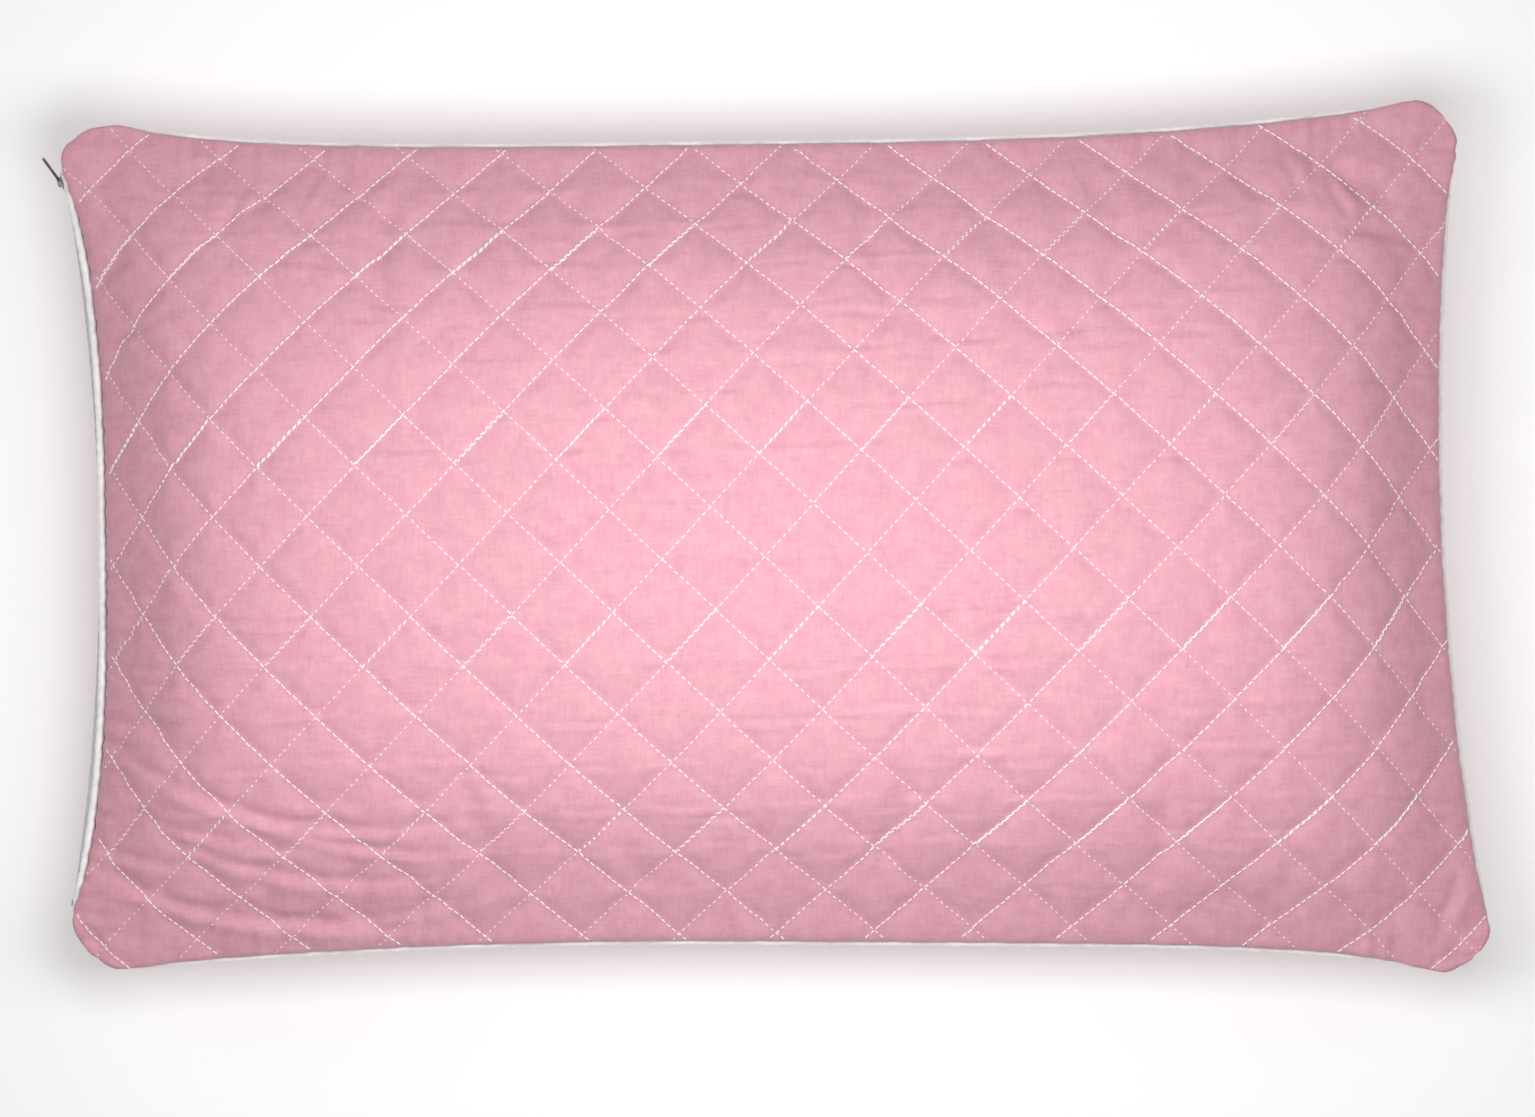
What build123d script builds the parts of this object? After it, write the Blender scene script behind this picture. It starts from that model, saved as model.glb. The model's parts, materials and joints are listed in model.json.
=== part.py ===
from build123d import *
import math
import os

# Bed pillow: quilted cover with a piped seam and a zip along one short side, round a fibre-filled case.
# +X runs along the length, +Y across the width, +Z up. It lies on its back panel.
# Everything is built round the seam plane (z = 0) and moved onto the floor at the very end.

# --- the pillow as a whole (mm) ---
pillow_length = 712.0        # between the unrounded corners of the seam
pillow_width = 436.0
crown_height = 66.0          # face above the seam plane
crown_fall = 0.1             # share of the crown that falls away evenly along the length
floor_depth = 60.0           # resting face below the seam plane
# Each corner is pulled a little off the true rectangle: (x, y) drift.
corner_drift = {"zip_far": (-4.5, -4.0), "end_far": (-12.5, 4.5), "end_near": (8.5, -2.5), "zip_near": (0.5, 2.5)}
far_bow = 19.0               # how far the filling pulls each side in between its corners
near_bow = 18.5
end_bow = 17.5
zip_side_bow = 25.5
# Each corner is blunted: how far the cut starts from it along the length and along the width.
corner_cut = {"zip_far": (34.0, 21.0), "end_far": (18.0, 20.0), "end_near": (28.0, 23.0), "zip_near": (31.0, 27.0)}
corner_round = 8.0           # rounding where a cut meets a side

# --- cloth layers (mm) ---
cloth_thickness = 0.5
wadding_thickness = 4.0
backing_thickness = 0.4
case_thickness = 0.4
layer_gap = 0.5              # room between soft layers
seam_gap = 0.5               # room between the seam plane and the panels
edge_rise = 0.4              # panel thickness left at the seam
rim_inset = 0.3              # the panels' rims, inside the seam line
inner_inset = 12.0           # the inner layers stop this far from the seam, clear of the zip
fill_inset = 16.0            # the filling stops this far from the seam
rest_press = 0.3             # how far the cloth is pressed flat where it rests
band_power = 16              # how sharply the back's rim drops beside the zip
ground_margin = 0.03         # how far the panels' surfaces run on past the seam before they are trimmed

# --- piping (mm) ---
piping_radius = 2.0
piping_cloth = 0.5
cord_clearance = 0.1
piping_offset = 2.2          # from the seam line to the middle of the piping
flange_width = 7.0
flange_thickness = 0.4

# --- zip (mm) ---
zip_drop = 8.5               # seam plane to the middle of the coil
zip_stand_out = 2.4          # mean distance of the tape in front of the seam line
zip_straighter = 1.5         # it stands this much further out at its middle, and less at its ends
zip_end_gap = 30.8           # from each corner of its side to where the zip opens
zip_shift = 2.5              # the opening's middle, from the middle of the side
tape_tail = 5.0              # tape past the stops at each end
tape_thickness = 0.4
tape_web = 3.4               # half height of the upright part of the tapes
tape_flange_drop = 0.9       # sewn flange, from the seam plane
tape_slope = 4.4             # how far the sloping part runs inwards
tape_reach = 9.0             # inner edge of the sewn flange
coil_gap = 1.0               # slot between the coils, where the slider's bridge passes
coil_width = 1.6
coil_height = 1.4
stop_length = 3.0
stop_height = 1.7
stop_overhang = 0.2          # stops beyond the coils

# --- slider and pull tab (mm) ---
slider_length = 9.0
slider_width = 6.2
slider_plate = 1.0
slider_round = 1.5           # corners of the plates
slider_clearance = 0.3
bridge_width = 0.6
bridge_length = 2.4
bridge_setback = 0.4         # from the leading end of the plates
lip_width = 0.7
lip_setback = 1.5            # the lips end this far from each end of the plates
bail_length = 5.2
bail_height = 2.5
bail_width = 1.2
bail_round = 1.1
pin_radius = 0.45
pin_clearance = 0.3
pin_rise = 1.0               # pin above the slider's outer plate
tab_length = 15.5
tab_root_width = 5.0
tab_tip_width = 3.4
tab_thickness = 1.2
tab_window = 3.2             # from the pin to the blade
tab_arm = 1.4                # width of each arm beside the bail
tab_tip_round = 1.35         # rounding of the blade's end
tab_rest_angle = 26.0        # blade from the line of the zip, swung outwards


def corner(x_sign, y_sign, name):
    dx, dy = corner_drift[name]
    return Vector(x_sign * pillow_length / 2 + dx, y_sign * pillow_width / 2 + dy)


zip_far = corner(-1, 1, "zip_far")
end_far = corner(1, 1, "end_far")
end_near = corner(1, -1, "end_near")
zip_near = corner(-1, -1, "zip_near")


def side_point(start, end, bow, share):
    """Point at a share of the way along a side, whose middle is pulled to the left of the way by bow."""
    way = (end - start).normalized()
    return start + (end - start) * share + Vector(-way.Y, way.X) * bow * 4 * share * (1 - share)


def seam_face():
    """The area inside the seam line, on the seam plane, with blunt corners. Corners run anticlockwise."""
    sides = [
        (zip_near, end_near, near_bow, corner_cut["zip_near"][0], corner_cut["end_near"][0]),
        (end_near, end_far, end_bow, corner_cut["end_near"][1], corner_cut["end_far"][1]),
        (end_far, zip_far, far_bow, corner_cut["end_far"][0], corner_cut["zip_far"][0]),
        (zip_far, zip_near, zip_side_bow, corner_cut["zip_far"][1], corner_cut["zip_near"][1]),
    ]
    edges = []
    for start, end, bow, cut_start, cut_end in sides:
        length = (end - start).length
        shares = (cut_start / length, 0.5, 1 - cut_end / length)
        points = [side_point(start, end, bow, share) for share in shares]
        if edges:
            edges.append(Line(edges[-1] @ 1, points[0]))
        edges.append(ThreePointArc(*points))
    edges.append(Line(edges[-1] @ 1, edges[0] @ 0))
    face = make_face(edges)
    return fillet(face.vertices(), corner_round)


# --- the zip's own arc, straighter than the seam beside it ---
side_vector = zip_far - zip_near
side_half = side_vector.length / 2
side_way = side_vector.normalized()
outward = Vector(-side_way.Y, side_way.X)
side_middle = (zip_far + zip_near) / 2 - outward * zip_side_bow
side_radius = (side_half**2 + zip_side_bow**2) / (2 * zip_side_bow)
zip_half = side_half - zip_end_gap
zip_sagitta = zip_half**2 / (2 * side_radius) - 2 * zip_straighter
zip_radius = (zip_half**2 + zip_sagitta**2) / (2 * zip_sagitta)
zip_middle = side_middle + outward * (zip_stand_out + zip_straighter)
zip_centre = zip_middle + outward * zip_radius
zip_bearing = math.degrees(math.atan2(-outward.Y, -outward.X))
top_stop = zip_shift + zip_half
bottom_stop = zip_shift - zip_half
rim_outer = 2 * zip_drop - tape_flange_drop + slider_clearance + cloth_thickness


def zip_angle(distance):
    """Degrees round the zip's centre for a distance along it from its middle."""
    return math.degrees(distance / zip_radius)


def along_zip(points, start, end):
    """A section of (inward from the tape's outer face, up from the coil) run along the zip."""
    outline = [(zip_radius + inward, up - zip_drop) for inward, up in points]
    section = make_face(Plane.XZ * Polyline(*outline, close=True))
    turned = revolve(section, Axis.Z, zip_angle(end - start))
    return Pos(zip_centre.X, zip_centre.Y) * Rot(0, 0, zip_bearing + zip_angle(start)) * turned


def on_zip(shape, distance):
    """Place a shape built at the tape's outer face (X inwards, Y along, Z up from the coil)."""
    turn = Rot(0, 0, zip_bearing + zip_angle(distance))
    return Pos(zip_centre.X, zip_centre.Y, -zip_drop) * turn * Pos(zip_radius) * shape


def only_solid(shape):
    return shape.solids()[0]


def ground_point(u, v):
    """Point of the seam plane for u, v, which are -1 and 1 at the bowed sides."""
    x = y = 0.0
    for point, weight in (
        (zip_near, (1 - u) * (1 - v)),
        (end_near, (1 + u) * (1 - v)),
        (end_far, (1 + u) * (1 + v)),
        (zip_far, (1 - u) * (1 + v)),
    ):
        x += point.X * weight / 4
        y += point.Y * weight / 4
    side_pull = (zip_side_bow * (1 - u) + end_bow * (1 + u)) / 2
    long_pull = (near_bow * (1 - v) + far_bow * (1 + v)) / 2
    return x - u * side_pull * (1 - v * v), y - v * long_pull * (1 - u * u)


def face_height(u, v):
    """The crowned face, above the seam plane."""
    lengthwise = 1 - crown_fall * u**2 - (1 - crown_fall) * u**8
    crosswise = 1 - v**2 / 2 - v**4 / 2
    return seam_gap + edge_rise + crown_height * lengthwise * crosswise


def back_height(u, v):
    """The back, below the seam plane: flatter, and beside the zip its rim lies under the zip's band."""
    rim = seam_gap + edge_rise
    band = (rim_outer - rim) * (1 - v**band_power) * ((1 - u) / 2) ** band_power
    return -(rim + band + (floor_depth + rest_press - rim) * (1 - u**8) * (1 - v**6))


def surface(height, lift):
    """Smooth surface over the outline and a little past it, raised by lift."""
    steps = 32
    reach = 1 + ground_margin
    shares = [reach * (2 * i / steps - 1) for i in range(steps + 1)]
    rows = []
    for u in shares:
        row = []
        for v in shares:
            x, y = ground_point(u, v)
            row.append((x, y, height(u, v) + lift))
        rows.append(row)
    return Face.make_surface_from_array_of_points(rows, tol=0.05, min_deg=3)


def between(first, second):
    """Solid between two surfaces that lie over each other."""
    walls = []
    for edge in first.edges():
        mate = second.edges().sort_by_distance(edge.center())[0]
        walls.append(Face.make_surface_from_curves(edge, mate))
    body = Solid(Shell([first, second] + walls))
    return body if body.volume > 0 else -body


def half_space(level, side):
    """A block above (side 1) or below (side -1) a level, larger than the pillow."""
    size = 2 * pillow_length
    align = Align.MIN if side > 0 else Align.MAX
    return Pos(0, 0, level) * Box(size, size, size, align=(Align.CENTER, Align.CENTER, align))


def column_of(outline, inset):
    return extrude(offset(outline, amount=-inset), amount=2 * floor_depth, both=True)


def flat_height(u, v):
    return 0.0


def panel_layers(height, side, names, trims):
    """Cloth, wadding, backing and inner case of one panel, from outside inwards.
    side is 1 on the face and -1 on the back."""
    thicknesses = (cloth_thickness, wadding_thickness, backing_thickness, case_thickness)
    layers = {}
    depth = 0.0
    for name, thickness, trim in zip(names, thicknesses, trims):
        outside = surface(height, -side * depth)
        inside = surface(height, -side * (depth + thickness))
        layers[name] = only_solid(between(outside, inside) & trim & half_space(side * seam_gap, side))
        depth += thickness + layer_gap
    return layers, depth


def zip_pocket():
    """Room for the zip's lower tape over the rim of the back."""
    low = zip_drop - rim_outer + cloth_thickness
    high = zip_drop
    section = [(-tape_reach, low), (tape_reach, low), (tape_reach, high), (-tape_reach, high)]
    return along_zip(section, bottom_stop - 2 * tape_tail, top_stop + 2 * tape_tail)


def fibre_fill(outline, depth):
    far = 3 * floor_depth
    top = between(surface(face_height, -depth), surface(flat_height, -far))
    bottom = between(surface(back_height, depth), surface(flat_height, far))
    return only_solid(column_of(outline, fill_inset) & top & bottom)


def piping_run(outline, radius):
    """A round bar all the way round the outside of the seam line."""
    path = offset(outline, amount=piping_offset).face().outer_wire()
    start = Plane(origin=path @ 0, z_dir=path % 0)
    return sweep(start * Circle(radius), path=path)


def piping_cover(outline):
    """Bias strip round the cord, with the flange that is sewn into the seam."""
    tube = piping_run(outline, piping_radius) - piping_run(outline, piping_radius - piping_cloth)
    root = piping_offset - piping_radius + piping_cloth / 2
    strip = offset(outline, amount=root) - offset(outline, amount=-flange_width)
    return tube + extrude(strip, amount=flange_thickness / 2, both=True)


def zip_tape(side):
    """One tape: upright beside the coil, sloping back under the seam, then a sewn flange."""
    inner = coil_gap / 2
    flange = zip_drop - tape_flange_drop
    points = [
        (0, inner),
        (0, tape_web),
        (tape_slope, flange),
        (tape_reach, flange),
        (tape_reach, flange - tape_thickness),
        (tape_slope + tape_thickness / 2, flange - tape_thickness),
        (tape_thickness, tape_web - tape_thickness / 2),
        (tape_thickness, inner),
    ]
    placed = [(inward, side * up) for inward, up in points]
    return along_zip(placed, bottom_stop - tape_tail, top_stop + tape_tail)


def block_section(side, low, high, height):
    return [(0, side * low), (-height, side * low), (-height, side * high), (0, side * high)]


def zip_coil(side):
    section = block_section(side, coil_gap / 2, coil_gap / 2 + coil_width, coil_height)
    return along_zip(section, bottom_stop, top_stop)


def zip_top_stops():
    """A clamp on each tape, side by side above the coils."""
    width = coil_gap / 2 + coil_width + stop_overhang
    pair = [along_zip(block_section(side, coil_gap / 2, width, stop_height), top_stop, top_stop + stop_length)
            for side in (1, -1)]
    return Compound(children=[only_solid(stop) for stop in pair])


def zip_bottom_stop():
    """A staple across both tapes."""
    width = coil_gap / 2 + coil_width + stop_overhang
    return along_zip(block_section(1, -width, width, stop_height), bottom_stop - stop_length, bottom_stop)


def slider_plate_shape(thickness):
    plate = Plane.YZ * RectangleRounded(slider_length, slider_width, slider_round)
    return extrude(plate, amount=thickness)


outer_plate_face = -(coil_height + slider_clearance)
outer_plate_back = outer_plate_face - slider_plate
inner_plate_face = tape_thickness + slider_clearance
pin_inward = outer_plate_back - pin_rise


def zip_slider():
    """Two plates joined by a bridge at the leading end, with a bail for the pull tab."""
    outer = Pos(outer_plate_back) * slider_plate_shape(slider_plate)
    inner = Pos(inner_plate_face) * slider_plate_shape(slider_plate)
    depth = inner_plate_face - outer_plate_face
    bridge = Pos(outer_plate_face, slider_length / 2 - bridge_setback) * Box(
        depth, bridge_length, bridge_width, align=(Align.MIN, Align.MAX, Align.CENTER))
    body = outer + inner + bridge
    lip_depth = -outer_plate_face - slider_clearance
    for side in (1, -1):
        lip_middle = side * (slider_width - lip_width) / 2
        body += Pos(outer_plate_face, 0, lip_middle) * Box(
            lip_depth, slider_length - 2 * lip_setback, lip_width, align=(Align.MIN, Align.CENTER, Align.CENTER))
    bail = Pos(outer_plate_back) * Box(
        bail_height, bail_length, bail_width, align=(Align.MAX, Align.CENTER, Align.CENTER))
    crest = bail.edges().filter_by(Axis.Z).group_by(Axis.X)[0]
    bail = fillet(crest, bail_round)
    bail -= Pos(pin_inward) * Cylinder(pin_radius + pin_clearance, 2 * bail_width)
    return only_solid(body + bail)


def pull_tab():
    """Blade with a window at its root, so that a pin is left under the bail."""
    half_root = tab_root_width / 2
    half_tip = tab_tip_width / 2
    blade = make_face(Plane.YZ * Polyline(
        (0, -half_root), (tab_length, -half_tip), (tab_length, half_tip), (0, half_root), close=True))
    tip = blade.vertices().group_by(Axis.Y)[-1]
    blade = fillet(tip, tab_tip_round)
    window = Plane.YZ * Pos(tab_window / 2) * Rectangle(tab_window, tab_root_width - 2 * tab_arm)
    tab = extrude(blade - window, amount=tab_thickness / 2, both=True)
    tab += Cylinder(pin_radius, tab_root_width)
    for side in (1, -1):
        tab += Pos(0, 0, side * (tab_root_width - tab_arm) / 2) * Cylinder(tab_thickness / 2, tab_arm)
    return Pos(pin_inward) * Rot(0, 0, tab_rest_angle) * only_solid(tab)


def build_parts():
    outline = seam_face()
    face_names = ("face_panel_cloth", "face_panel_wadding", "face_panel_backing", "inner_case_top")
    back_names = ("back_panel_cloth", "back_panel_wadding", "back_panel_backing", "inner_case_bottom")
    face_trim = column_of(outline, rim_inset)
    inner_trims = (column_of(outline, inner_inset),) * 3
    parts, depth = panel_layers(face_height, 1, face_names, (face_trim,) + inner_trims)
    cloth_trim = face_trim & half_space(-floor_depth, 1) - zip_pocket()
    back, depth = panel_layers(back_height, -1, back_names, (cloth_trim,) + inner_trims)
    parts.update(back)
    parts["fibre_fill"] = fibre_fill(outline, depth)
    parts["piping_cord"] = piping_run(outline, piping_radius - piping_cloth - cord_clearance)
    parts["piping_cover"] = piping_cover(outline)
    for side, name in ((1, "upper"), (-1, "lower")):
        parts["zip_tape_" + name] = zip_tape(side)
        parts["zip_coil_" + name] = zip_coil(side)
    parts["zip_top_stops"] = zip_top_stops()
    parts["zip_bottom_stop"] = zip_bottom_stop()
    slider_place = top_stop - slider_clearance - slider_length / 2
    parts["zip_slider_body"] = on_zip(zip_slider(), slider_place)
    parts["zip_pull_tab"] = on_zip(pull_tab(), slider_place)
    return parts, slider_place


parts, slider_place = build_parts()
whole = Compound(children=[Compound(children=part.solids()) for part in parts.values()]).bounding_box()
origin_shift = Pos(-(whole.min.X + whole.max.X) / 2, -(whole.min.Y + whole.max.Y) / 2, -whole.min.Z)
os.makedirs("parts", exist_ok=True)
for node, shape in parts.items():
    export_step(origin_shift * shape, "parts/" + node + ".step")

pin_place = origin_shift * on_zip(Pos(pin_inward), slider_place)
centre_place = origin_shift * Pos(zip_centre.X, zip_centre.Y)
slider_travel = 2 * zip_half - slider_length - 2 * slider_clearance
print("seam plane and centre shift:", origin_shift.position)
print("zip arc centre:", centre_place.position, "radius:", round(zip_radius, 2))
print("pull tab pin:", pin_place.position)
print("slider travel:", round(zip_angle(slider_travel), 3), "degrees")
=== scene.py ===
import json
import math

import bpy
import numpy as np
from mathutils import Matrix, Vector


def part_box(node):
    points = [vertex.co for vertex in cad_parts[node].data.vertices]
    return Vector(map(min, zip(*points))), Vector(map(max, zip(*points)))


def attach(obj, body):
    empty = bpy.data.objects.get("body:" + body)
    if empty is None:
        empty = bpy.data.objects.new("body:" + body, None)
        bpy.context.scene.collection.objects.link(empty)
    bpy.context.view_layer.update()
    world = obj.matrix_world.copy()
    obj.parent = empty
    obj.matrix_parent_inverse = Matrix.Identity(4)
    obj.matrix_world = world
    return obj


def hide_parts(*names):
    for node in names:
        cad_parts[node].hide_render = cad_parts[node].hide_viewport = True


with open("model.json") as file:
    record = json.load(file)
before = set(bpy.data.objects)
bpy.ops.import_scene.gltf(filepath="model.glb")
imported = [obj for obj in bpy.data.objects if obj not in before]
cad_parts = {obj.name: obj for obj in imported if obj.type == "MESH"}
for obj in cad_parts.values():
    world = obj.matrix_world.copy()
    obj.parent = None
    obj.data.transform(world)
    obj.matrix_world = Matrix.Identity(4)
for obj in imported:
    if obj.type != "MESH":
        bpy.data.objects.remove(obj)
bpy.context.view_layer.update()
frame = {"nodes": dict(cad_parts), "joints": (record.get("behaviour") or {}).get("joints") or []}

# Bed pillow: quilted pink cover with white piping and a zip down one short side.
# Lengths in the dictionaries are millimetres, and the model itself is in metres.
mm = 0.001
print("frame loaded")

pillow = {
    "length": 710.0,  # between the uncut corners of the seam
    "width": 431.8,
    "drift": {"zipFar": (-4.6, -4.0), "endFar": (-13.4, 4.4), "endNear": (7.6, -2.4), "zipNear": (0.4, 2.4)},
    # How much of each corner is cut off, along the length and along the width
    "cuts": {
        "zipFar": (34.0, 21.0), "endFar": (18.0, 20.0), "endNear": (28.0, 23.0), "zipNear": (31.0, 27.0),
    },
    "cornerSoft": 4.5,  # how gently a cut turns into its side
    "cutSpread": 45.0,  # how far past its end a cut is eased into its side
    "cutReach": 75.0,  # how far in from a corner its cut still pulls the cloth
    "bows": {"far": 19.0, "near": 18.5, "end": 17.5, "zip": 25.5},
    # How flat each side is in its middle: (towards -, towards +) power of its bow
    "flatness": {"far": (4.6, 2.9), "near": (2.2, 6.0), "end": (2.1, 1.9), "zip": (3.0, 3.0)},
    "seamRise": 0.9,  # edge of the face above the seam plane
    "crown": 62.6,
    "crownFall": 0.1,
    "crownPowers": (8, 2, 4),  # of the fall along the length, then across the width
    "restDepth": 60.0,
    "restMargin": 0.6,  # the cloth's smooth base stays this far above the floor
    "restSoft": 3.0,  # how gently the back turns on to the floor
    "backPowers": (8, 6),
    "zipBand": 16.0,  # how much lower the back's edge is beside the zip
    "zipBandPower": 16,  # the band fades quickly along the length
    "zipMiddle": 2.5,
    # The zip side is open this far each way, and past it the back's edge climbs to the seam
    "zipHalf": 184.0,
    "zipClosing": 12.0,
    # How far the filled cloth leans out over the seam: along the sides, beside the zip, and at the corners
    "lean": {"side": 4.5, "zip": 1.2, "corner": 8.5},
    "cornerReach": 34.0,
    "backLean": 0.9,  # the back's lean, as a share of the face's
    "leanReach": 4.0,
    "rimRoll": 3.4,  # how far the cloth rises over the piping straight from the seam
    "rimReach": 1.7,
}

halfLength = pillow["length"] / 2
halfWidth = pillow["width"] / 2
corners = {
    "zipFar": (-1, 1),
    "endFar": (1, 1),
    "endNear": (1, -1),
    "zipNear": (-1, -1),
}
zipJoint = next(j for j in frame["joints"] if j["name"] == "zip_travel")
pullJoint = next(j for j in frame["joints"] if j["name"] == "pull_swing")
seamLevel = zipJoint["pos_m"][2] / mm
clothLow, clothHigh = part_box("face_panel_cloth")


def smoothStep(t):
    t = np.clip(t, 0, 1)
    return t * t * (3 - 2 * t)


def bowProfile(t, powers):
    return 1 - np.where(t < 0, np.abs(t) ** powers[0], np.abs(t) ** powers[1])


def groundPlace(u, v):
    x = np.zeros_like(u)
    y = np.zeros_like(u)
    for name, (signX, signY) in corners.items():
        driftX, driftY = pillow["drift"][name]
        weight = (1 + signX * u) * (1 + signY * v) / 4
        x += (signX * halfLength + driftX) * weight
        y += (signY * halfWidth + driftY) * weight
    bows, flat = pillow["bows"], pillow["flatness"]
    zipPull = bows["zip"] * bowProfile(v, flat["zip"]) * (1 - u)
    endPull = bows["end"] * bowProfile(v, flat["end"]) * (1 + u)
    nearPull = bows["near"] * bowProfile(u, flat["near"]) * (1 - v)
    farPull = bows["far"] * bowProfile(u, flat["far"]) * (1 + v)
    return x - u * (zipPull + endPull) / 2, y - v * (nearPull + farPull) / 2


def softBend(t):
    # The size of t, with a rounded foot
    return np.sqrt(t * t + pillow["cornerSoft"] ** 2)


def cutAlong(distance, half, share):
    # Distance from the corner along one side, for a distance along the blunted outline
    first, second = (1 - share) / 2, share / 2
    bends = first * softBend(distance + half), second * softBend(distance - half)
    return -distance / 2 + bends[0] + bends[1] - half * (first - second)


def bluntCorners(u, v):
    # Moves u, v near each corner so that the sheet's edge follows the blunted outline
    newU, newV = u.copy(), v.copy()
    for name, (signX, signY) in corners.items():
        cutX, cutY = pillow["cuts"][name]
        chamfer = math.hypot(cutX, cutY)
        half = chamfer / 2
        a = (1 - signX * u) * halfLength
        b = (1 - signY * v) * halfWidth

        def pull(along, cut, other):
            run = -(along + (half - cut) * smoothStep(along / (cut + pillow["cutSpread"])))
            kept = cutAlong(run, half, cut / chamfer)
            rise = cutAlong(-run, half, other / chamfer)
            return kept - along, rise

        onX, upY = pull(a, cutX, cutY)
        onY, upX = pull(b, cutY, cutX)
        zero = np.zeros(1)
        atX, atY = pull(zero, cutX, cutY)[0], pull(zero, cutY, cutX)[0]
        fadeA = 1 - smoothStep(a / pillow["cutReach"])
        fadeB = 1 - smoothStep(b / pillow["cutReach"])
        moveA = onX * fadeB + upX * fadeA - (atX + pull(zero, cutY, cutX)[1]) / 2 * fadeA * fadeB
        moveB = upY * fadeB + onY * fadeA - (atY + pull(zero, cutX, cutY)[1]) / 2 * fadeA * fadeB
        newU -= signX * moveA / halfLength
        newV -= signY * moveB / halfWidth
    return newU, newV


def edgeDistance(u, v):
    # Distance in from the seam, smooth across the corners
    a = np.maximum((1 - np.abs(u)) * halfLength, 1e-3)
    b = np.maximum((1 - np.abs(v)) * halfWidth, 1e-3)
    return (a**-4 + b**-4) ** -0.25, a, b


def rimRoll(u, v):
    return pillow["rimRoll"] * (1 - np.exp(-edgeDistance(u, v)[0] / pillow["rimReach"]))


def faceHeight(u, v):
    fall = pillow["crownFall"]
    endPower, low, high = pillow["crownPowers"]
    dome = (1 - fall * u**2 - (1 - fall) * u**endPower) * (1 - v**low / 2 - v**high / 2)
    return pillow["seamRise"] + pillow["crown"] * dome + rimRoll(u, v)


def backHeight(u, v):
    rise, rest = pillow["seamRise"], pillow["restDepth"]
    endPower, sidePower = pillow["backPowers"]
    past = np.abs(v * halfWidth - pillow["zipMiddle"]) - pillow["zipHalf"]
    opened = 1 - smoothStep(past / pillow["zipClosing"])
    band = pillow["zipBand"] * opened * ((1 - u) / 2) ** pillow["zipBandPower"]
    deep = rise + band + rimRoll(u, v) + (rest - rise) * (1 - u**endPower) * (1 - v**sidePower)
    over = deep - rest
    return -(rest + over - (over + np.sqrt(over * over + pillow["restSoft"] ** 2)) / 2)


def sheetGrid(countU, countV, inset=0.0):
    reachU, reachV = 1 - inset / halfLength, 1 - inset / halfWidth
    return np.meshgrid(np.linspace(-reachU, reachU, countU + 1), np.linspace(-reachV, reachV, countV + 1))


def outwardLean(x, y, u, v, side):
    # The cloth swells out past the seam before it turns in over the top, most of all at the corners
    lean, reach = pillow["lean"], pillow["leanReach"]
    edge, a, b = edgeDistance(u, v)
    acrossX, acrossY = np.gradient(y, axis=0), -np.gradient(x, axis=0)
    alongX, alongY = -np.gradient(y, axis=1), np.gradient(x, axis=1)
    endWay = np.stack([acrossX, acrossY], axis=-1) * np.sign(u)[..., None]
    sideWay = np.stack([alongX, alongY], axis=-1) * np.sign(v)[..., None]
    endWay /= np.maximum(np.linalg.norm(endWay, axis=-1, keepdims=True), 1e-9)
    sideWay /= np.maximum(np.linalg.norm(sideWay, axis=-1, keepdims=True), 1e-9)
    endShare = (b**2 / (a**2 + b**2))[..., None]
    way = endWay * endShare + sideWay * (1 - endShare)
    way /= np.maximum(np.linalg.norm(way, axis=-1, keepdims=True), 1e-9)
    atZip = (u < 0) * endShare[..., 0]
    amount = lean["side"] + ((lean["zip"] if side > 0 else 0.0) - lean["side"]) * atZip
    amount = amount + (lean["corner"] - amount) * np.exp(-((np.hypot(a, b) / pillow["cornerReach"]) ** 2))
    amount = amount * (1.0 if side > 0 else pillow["backLean"]) * edge / reach * np.exp(1 - edge / reach)
    return way * amount[..., None]


def baseSheet(u, v, height, side=1, leaning=True):
    x, y = groundPlace(*bluntCorners(u, v))
    sheet = np.stack([x, y, height(u, v)], axis=-1)
    if leaning:
        sheet[..., :2] += outwardLean(x, y, u, v, side)
    return sheet


outlineTest = baseSheet(*sheetGrid(200, 120), faceHeight)
middle = np.array([
    (clothLow[0] + clothHigh[0]) / 2 / mm - (outlineTest[..., 0].min() + outlineTest[..., 0].max()) / 2,
    (clothLow[1] + clothHigh[1]) / 2 / mm - (outlineTest[..., 1].min() + outlineTest[..., 1].max()) / 2,
    seamLevel,
])
print("seam shape placed", np.round(middle, 2).tolist())


def cubicWeights(fine, coarse):
    # Matrix that spreads coarse samples over fine ones with smooth cubic steps
    place = np.linspace(0, coarse, fine + 1)
    start = np.minimum(place.astype(int), coarse - 1)
    t = place - start
    weights = np.zeros((fine + 1, coarse + 1))
    rows = np.arange(fine + 1)
    for step, share in (
        (-1, (-t + 2 * t**2 - t**3) / 2),
        (0, (2 - 5 * t**2 + 3 * t**3) / 2),
        (1, (t + 4 * t**2 - 3 * t**3) / 2),
        (2, (-(t**2) + t**3) / 2),
    ):
        np.add.at(weights, (rows, np.clip(start + step, 0, coarse)), share)
    return weights


def spread(values, countU, countV):
    across = cubicWeights(countV, values.shape[0] - 1)
    along = cubicWeights(countU, values.shape[1] - 1)
    return np.einsum("ij,jk...,lk->il...", across, values, along)


def smoothNoise(seed, countU, countV, cells):
    rng = np.random.default_rng(seed)
    return spread(rng.uniform(-1, 1, (cells[1] + 1, cells[0] + 1)), countU, countV)


def normalsOf(points):
    alongU = np.gradient(points, axis=1)
    alongV = np.gradient(points, axis=0)
    normal = np.cross(alongU, alongV)
    return normal / np.maximum(np.linalg.norm(normal, axis=-1, keepdims=True), 1e-9)


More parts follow.
